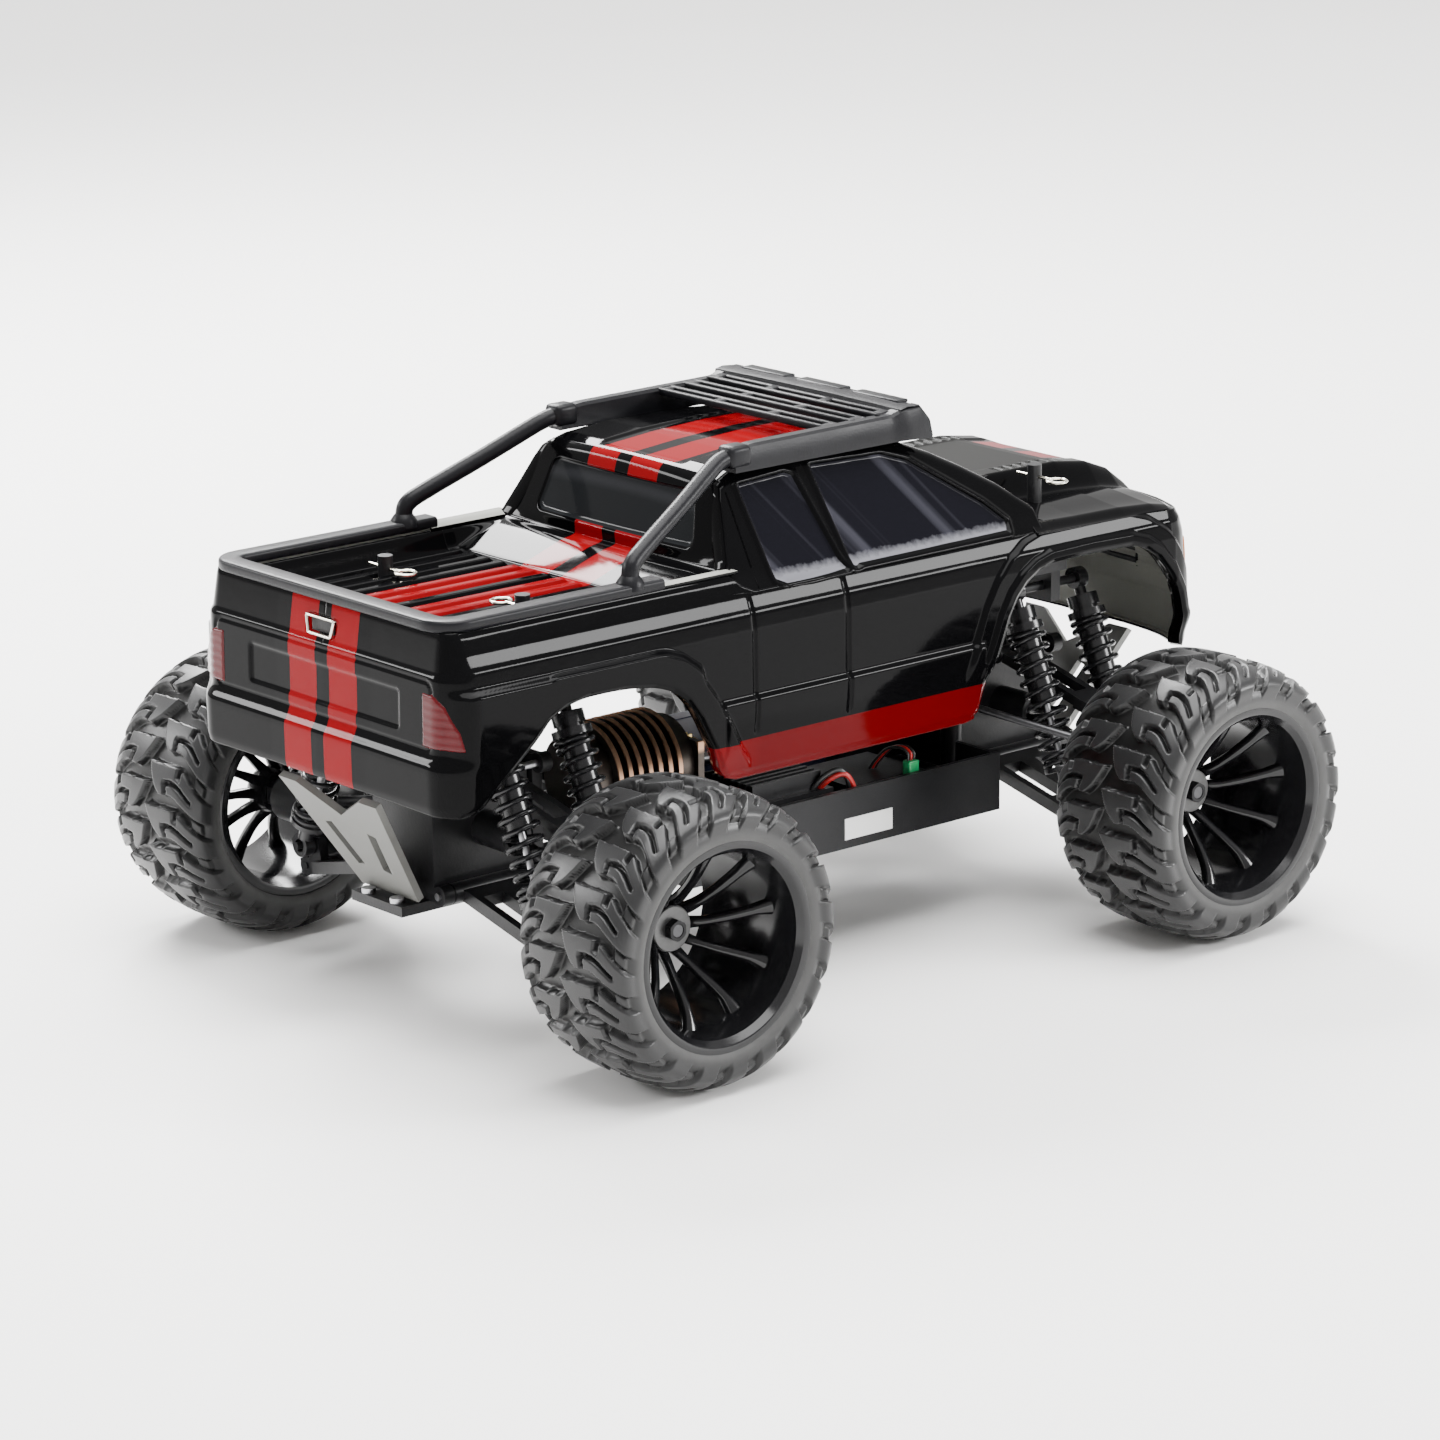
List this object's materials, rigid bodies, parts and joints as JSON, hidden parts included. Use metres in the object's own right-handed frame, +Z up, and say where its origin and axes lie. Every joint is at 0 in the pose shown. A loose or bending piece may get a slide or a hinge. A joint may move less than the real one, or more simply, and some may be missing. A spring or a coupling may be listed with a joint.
{
  "type": "rc monster truck",
  "caption": "Radio-controlled four-wheel-drive monster truck with a pickup body, bed and roof rack, working suspension, steering and free-rolling wheels.",
  "frame": {"origin": "on the ground, midway between the axles and between the wheels", "axes": "+X to the truck's right, +Y forwards, +Z up"},
  "size_m": [0.324, 0.408, 0.218],
  "materials": {
    "body_paint": "gloss black polycarbonate with red stripes",
    "trim_plastic": "matt grey moulded plastic",
    "skid_plastic": "satin grey moulded plastic",
    "chassis_plastic": "black moulded plastic",
    "arm_plastic": "black moulded plastic",
    "tyre_rubber": "black rubber",
    "rim_plastic": "gloss black",
    "shock_body": "black",
    "spring_steel": "black enamelled wire",
    "steel": "turned steel",
    "heat_sink": "finned aluminium",
    "servo_case": "black",
    "electronics_case": "black",
    "battery_wrap": "shrink wrap",
    "clip_wire": "bright spring wire",
    "brass_gear": "machined"
  },
  "bodies": {
    "chassis": {"chassis_tub": "chassis_plastic", "gearbox_housings": "chassis_plastic", "shock_towers": "chassis_plastic", "front_bumper": "skid_plastic", "rear_skid_plate": "skid_plastic", "motor": "heat_sink", "steering_servo": "servo_case", "electronics": "electronics_case", "battery_pack": "battery_wrap", "body_shell": "body_paint", "roof_rack": "trim_plastic", "bed_rail": "trim_plastic", "body_posts": "arm_plastic", "body_clips": "clip_wire", "hinge_pins_and_screws": "steel"},
    "wheel_front_right": {"tyre_front_right": "tyre_rubber", "rim_front_right": "rim_plastic"},
    "lower_arm_front_right": {"lower_arm_front_right": "arm_plastic"},
    "upper_arm_front_right": {"upper_arm_front_right": "arm_plastic"},
    "shock_body_front_right": {"shock_body_front_right": "shock_body"},
    "driveshaft_front_right": {"driveshaft_front_right": "steel"},
    "shock_rod_front_right": {"shock_rod_front_right": "steel", "shock_spring_front_right": "spring_steel"},
    "caster_block_right": {"caster_block_right": "arm_plastic"},
    "knuckle_right": {"knuckle_right": "arm_plastic"},
    "wheel_front_left": {"tyre_front_left": "tyre_rubber", "rim_front_left": "rim_plastic"},
    "lower_arm_front_left": {"lower_arm_front_left": "arm_plastic"},
    "upper_arm_front_left": {"upper_arm_front_left": "arm_plastic"},
    "shock_body_front_left": {"shock_body_front_left": "shock_body"},
    "driveshaft_front_left": {"driveshaft_front_left": "steel"},
    "shock_rod_front_left": {"shock_rod_front_left": "steel", "shock_spring_front_left": "spring_steel"},
    "caster_block_left": {"caster_block_left": "arm_plastic"},
    "knuckle_left": {"knuckle_left": "arm_plastic"},
    "wheel_rear_right": {"tyre_rear_right": "tyre_rubber", "rim_rear_right": "rim_plastic"},
    "lower_arm_rear_right": {"lower_arm_rear_right": "arm_plastic"},
    "upper_arm_rear_right": {"upper_arm_rear_right": "arm_plastic"},
    "shock_body_rear_right": {"shock_body_rear_right": "shock_body"},
    "driveshaft_rear_right": {"driveshaft_rear_right": "steel"},
    "shock_rod_rear_right": {"shock_rod_rear_right": "steel", "shock_spring_rear_right": "spring_steel"},
    "rear_hub_right": {"rear_hub_right": "arm_plastic"},
    "wheel_rear_left": {"tyre_rear_left": "tyre_rubber", "rim_rear_left": "rim_plastic"},
    "lower_arm_rear_left": {"lower_arm_rear_left": "arm_plastic"},
    "upper_arm_rear_left": {"upper_arm_rear_left": "arm_plastic"},
    "shock_body_rear_left": {"shock_body_rear_left": "shock_body"},
    "driveshaft_rear_left": {"driveshaft_rear_left": "steel"},
    "shock_rod_rear_left": {"shock_rod_rear_left": "steel", "shock_spring_rear_left": "spring_steel"},
    "rear_hub_left": {"rear_hub_left": "arm_plastic"},
    "servo_saver": {"servo_saver": "arm_plastic"},
    "idler_arm": {"idler_arm": "arm_plastic"},
    "relay_rod": {"relay_rod": "arm_plastic"},
    "tie_rod_right": {"tie_rod_right": "steel"},
    "tie_rod_left": {"tie_rod_left": "steel"},
    "center_drive": {"center_drive": "steel"},
    "motor_pinion": {"motor_pinion": "brass_gear"}
  },
  "joints": [
    {"name": "suspension_front_right", "type": "hinge", "parent": "chassis", "child": "lower_arm_front_right", "pos_m": [0.022, 0.1375, 0.051], "axis": [0, -1, 0], "range_deg": [0, 15], "stiffness_Nm_per_rad": 2, "springref_deg": -25.78},
    {"name": "upper_arm_front_right", "type": "hinge", "parent": "chassis", "child": "upper_arm_front_right", "pos_m": [0.022, 0.1375, 0.095], "axis": [0, -1, 0], "range_deg": [-0.5, 15.5]},
    {"name": "driveshaft_front_right", "type": "hinge", "parent": "chassis", "child": "driveshaft_front_right", "pos_m": [0.033, 0.1375, 0.0725], "axis": [0, -1, 0], "range_deg": [-0.5, 15.5]},
    {"name": "shock_swing_front_right", "type": "hinge", "parent": "chassis", "child": "shock_body_front_right", "pos_m": [0.043, 0.1375, 0.128], "axis": [0, -1, 0], "range_deg": [-0.5, 4.24]},
    {"name": "shock_travel_front_right", "type": "slide", "parent": "shock_body_front_right", "child": "shock_rod_front_right", "axis": [-0.401, 0, 0.9161], "range_m": [-0.0005, 0.01417], "deforming": ["shock_spring_front_right"]},
    {"name": "hub_pivot_front_right", "type": "hinge", "parent": "lower_arm_front_right", "child": "caster_block_right", "pos_m": [0.086, 0.1375, 0.036], "axis": [0, -1, 0], "range_deg": [-15.5, 0.5]},
    {"name": "kingpin_right", "type": "hinge", "parent": "caster_block_right", "child": "knuckle_right", "pos_m": [0.097, 0.1375, 0.0575], "axis": [0, 0, 1], "range_deg": [-24.5, 24.5]},
    {"name": "wheel_spin_front_right", "type": "hinge", "parent": "knuckle_right", "child": "wheel_front_right", "pos_m": [0.1325, 0.1375, 0.0575], "axis": [1, 0, 0], "continuous": true},
    {"name": "suspension_front_left", "type": "hinge", "parent": "chassis", "child": "lower_arm_front_left", "pos_m": [-0.022, 0.1375, 0.051], "axis": [0, 1, 0], "range_deg": [0, 15], "stiffness_Nm_per_rad": 2, "springref_deg": -25.78},
    {"name": "upper_arm_front_left", "type": "hinge", "parent": "chassis", "child": "upper_arm_front_left", "pos_m": [-0.022, 0.1375, 0.095], "axis": [0, 1, 0], "range_deg": [-0.5, 15.5]},
    {"name": "driveshaft_front_left", "type": "hinge", "parent": "chassis", "child": "driveshaft_front_left", "pos_m": [-0.033, 0.1375, 0.0725], "axis": [0, 1, 0], "range_deg": [-0.5, 15.5]},
    {"name": "shock_swing_front_left", "type": "hinge", "parent": "chassis", "child": "shock_body_front_left", "pos_m": [-0.043, 0.1375, 0.128], "axis": [0, 1, 0], "range_deg": [-0.5, 4.24]},
    {"name": "shock_travel_front_left", "type": "slide", "parent": "shock_body_front_left", "child": "shock_rod_front_left", "axis": [0.401, 0, 0.9161], "range_m": [-0.0005, 0.01417], "deforming": ["shock_spring_front_left"]},
    {"name": "hub_pivot_front_left", "type": "hinge", "parent": "lower_arm_front_left", "child": "caster_block_left", "pos_m": [-0.086, 0.1375, 0.036], "axis": [0, 1, 0], "range_deg": [-15.5, 0.5]},
    {"name": "kingpin_left", "type": "hinge", "parent": "caster_block_left", "child": "knuckle_left", "pos_m": [-0.097, 0.1375, 0.0575], "axis": [0, 0, 1], "range_deg": [-24.5, 24.5]},
    {"name": "wheel_spin_front_left", "type": "hinge", "parent": "knuckle_left", "child": "wheel_front_left", "pos_m": [-0.1325, 0.1375, 0.0575], "axis": [1, 0, 0], "continuous": true},
    {"name": "suspension_rear_right", "type": "hinge", "parent": "chassis", "child": "lower_arm_rear_right", "pos_m": [0.022, -0.1375, 0.051], "axis": [0, -1, 0], "range_deg": [0, 15], "stiffness_Nm_per_rad": 2, "springref_deg": -25.78},
    {"name": "upper_arm_rear_right", "type": "hinge", "parent": "chassis", "child": "upper_arm_rear_right", "pos_m": [0.022, -0.1375, 0.095], "axis": [0, -1, 0], "range_deg": [-0.5, 15.5]},
    {"name": "driveshaft_rear_right", "type": "hinge", "parent": "chassis", "child": "driveshaft_rear_right", "pos_m": [0.033, -0.1375, 0.0725], "axis": [0, -1, 0], "range_deg": [-0.5, 15.5]},
    {"name": "shock_swing_rear_right", "type": "hinge", "parent": "chassis", "child": "shock_body_rear_right", "pos_m": [0.043, -0.1375, 0.128], "axis": [0, -1, 0], "range_deg": [-0.5, 4.24]},
    {"name": "shock_travel_rear_right", "type": "slide", "parent": "shock_body_rear_right", "child": "shock_rod_rear_right", "axis": [-0.401, 0, 0.9161], "range_m": [-0.0005, 0.01417], "deforming": ["shock_spring_rear_right"]},
    {"name": "hub_pivot_rear_right", "type": "hinge", "parent": "lower_arm_rear_right", "child": "rear_hub_right", "pos_m": [0.086, -0.1375, 0.036], "axis": [0, -1, 0], "range_deg": [-15.5, 0.5]},
    {"name": "wheel_spin_rear_right", "type": "hinge", "parent": "rear_hub_right", "child": "wheel_rear_right", "pos_m": [0.1325, -0.1375, 0.0575], "axis": [1, 0, 0], "continuous": true},
    {"name": "suspension_rear_left", "type": "hinge", "parent": "chassis", "child": "lower_arm_rear_left", "pos_m": [-0.022, -0.1375, 0.051], "axis": [0, 1, 0], "range_deg": [0, 15], "stiffness_Nm_per_rad": 2, "springref_deg": -25.78},
    {"name": "upper_arm_rear_left", "type": "hinge", "parent": "chassis", "child": "upper_arm_rear_left", "pos_m": [-0.022, -0.1375, 0.095], "axis": [0, 1, 0], "range_deg": [-0.5, 15.5]},
    {"name": "driveshaft_rear_left", "type": "hinge", "parent": "chassis", "child": "driveshaft_rear_left", "pos_m": [-0.033, -0.1375, 0.0725], "axis": [0, 1, 0], "range_deg": [-0.5, 15.5]},
    {"name": "shock_swing_rear_left", "type": "hinge", "parent": "chassis", "child": "shock_body_rear_left", "pos_m": [-0.043, -0.1375, 0.128], "axis": [0, 1, 0], "range_deg": [-0.5, 4.24]},
    {"name": "shock_travel_rear_left", "type": "slide", "parent": "shock_body_rear_left", "child": "shock_rod_rear_left", "axis": [0.401, 0, 0.9161], "range_m": [-0.0005, 0.01417], "deforming": ["shock_spring_rear_left"]},
    {"name": "hub_pivot_rear_left", "type": "hinge", "parent": "lower_arm_rear_left", "child": "rear_hub_left", "pos_m": [-0.086, -0.1375, 0.036], "axis": [0, 1, 0], "range_deg": [-15.5, 0.5]},
    {"name": "wheel_spin_rear_left", "type": "hinge", "parent": "rear_hub_left", "child": "wheel_rear_left", "pos_m": [-0.1325, -0.1375, 0.0575], "axis": [1, 0, 0], "continuous": true},
    {"name": "steering", "type": "hinge", "parent": "chassis", "child": "servo_saver", "pos_m": [-0.022, 0.104, 0.084], "axis": [0, 0, 1], "range_deg": [-24, 24]},
    {"name": "idler", "type": "hinge", "parent": "chassis", "child": "idler_arm", "pos_m": [0.022, 0.104, 0.084], "axis": [0, 0, 1], "range_deg": [-24.5, 24.5]},
    {"name": "relay", "type": "hinge", "parent": "servo_saver", "child": "relay_rod", "pos_m": [-0.022, 0.078, 0.0845], "axis": [0, 0, 1], "range_deg": [-24.5, 24.5]},
    {"name": "tie_rod_right", "type": "hinge", "parent": "relay_rod", "child": "tie_rod_right", "pos_m": [0.033, 0.078, 0.091], "axis": [0, -1, 0], "range_deg": [-0.5, 15.5]},
    {"name": "tie_rod_left", "type": "hinge", "parent": "relay_rod", "child": "tie_rod_left", "pos_m": [-0.033, 0.078, 0.091], "axis": [0, 1, 0], "range_deg": [-0.5, 15.5]},
    {"name": "center_shaft", "type": "hinge", "parent": "chassis", "child": "center_drive", "pos_m": [0, -0.043, 0.0725], "axis": [0, 1, 0], "continuous": true},
    {"name": "motor_shaft", "type": "hinge", "parent": "chassis", "child": "motor_pinion", "pos_m": [0.024, -0.043, 0.08613], "axis": [0, 1, 0], "continuous": true}
  ],
  "couplings": [
    {"joint": "upper_arm_front_right", "follows": "suspension_front_right", "ratio": 1},
    {"joint": "driveshaft_front_right", "follows": "suspension_front_right", "ratio": 1},
    {"joint": "shock_swing_front_right", "follows": "suspension_front_right", "ratio": 0.24957},
    {"joint": "shock_travel_front_right", "follows": "suspension_front_right", "m_per_rad": 0.052221},
    {"joint": "hub_pivot_front_right", "follows": "suspension_front_right", "ratio": -1},
    {"joint": "kingpin_right", "follows": "steering", "ratio": 1},
    {"joint": "upper_arm_front_left", "follows": "suspension_front_left", "ratio": 1},
    {"joint": "driveshaft_front_left", "follows": "suspension_front_left", "ratio": 1},
    {"joint": "shock_swing_front_left", "follows": "suspension_front_left", "ratio": 0.24957},
    {"joint": "shock_travel_front_left", "follows": "suspension_front_left", "m_per_rad": 0.052221},
    {"joint": "hub_pivot_front_left", "follows": "suspension_front_left", "ratio": -1},
    {"joint": "kingpin_left", "follows": "steering", "ratio": 1},
    {"joint": "upper_arm_rear_right", "follows": "suspension_rear_right", "ratio": 1},
    {"joint": "driveshaft_rear_right", "follows": "suspension_rear_right", "ratio": 1},
    {"joint": "shock_swing_rear_right", "follows": "suspension_rear_right", "ratio": 0.24957},
    {"joint": "shock_travel_rear_right", "follows": "suspension_rear_right", "m_per_rad": 0.052221},
    {"joint": "hub_pivot_rear_right", "follows": "suspension_rear_right", "ratio": -1},
    {"joint": "upper_arm_rear_left", "follows": "suspension_rear_left", "ratio": 1},
    {"joint": "driveshaft_rear_left", "follows": "suspension_rear_left", "ratio": 1},
    {"joint": "shock_swing_rear_left", "follows": "suspension_rear_left", "ratio": 0.24957},
    {"joint": "shock_travel_rear_left", "follows": "suspension_rear_left", "m_per_rad": 0.052221},
    {"joint": "hub_pivot_rear_left", "follows": "suspension_rear_left", "ratio": -1},
    {"joint": "idler", "follows": "steering", "ratio": 1},
    {"joint": "relay", "follows": "steering", "ratio": -1},
    {"joint": "tie_rod_right", "follows": "suspension_front_right", "ratio": 1},
    {"joint": "tie_rod_left", "follows": "suspension_front_left", "ratio": 1},
    {"joint": "motor_shaft", "follows": "center_shaft", "ratio": -3.0588}
  ]
}
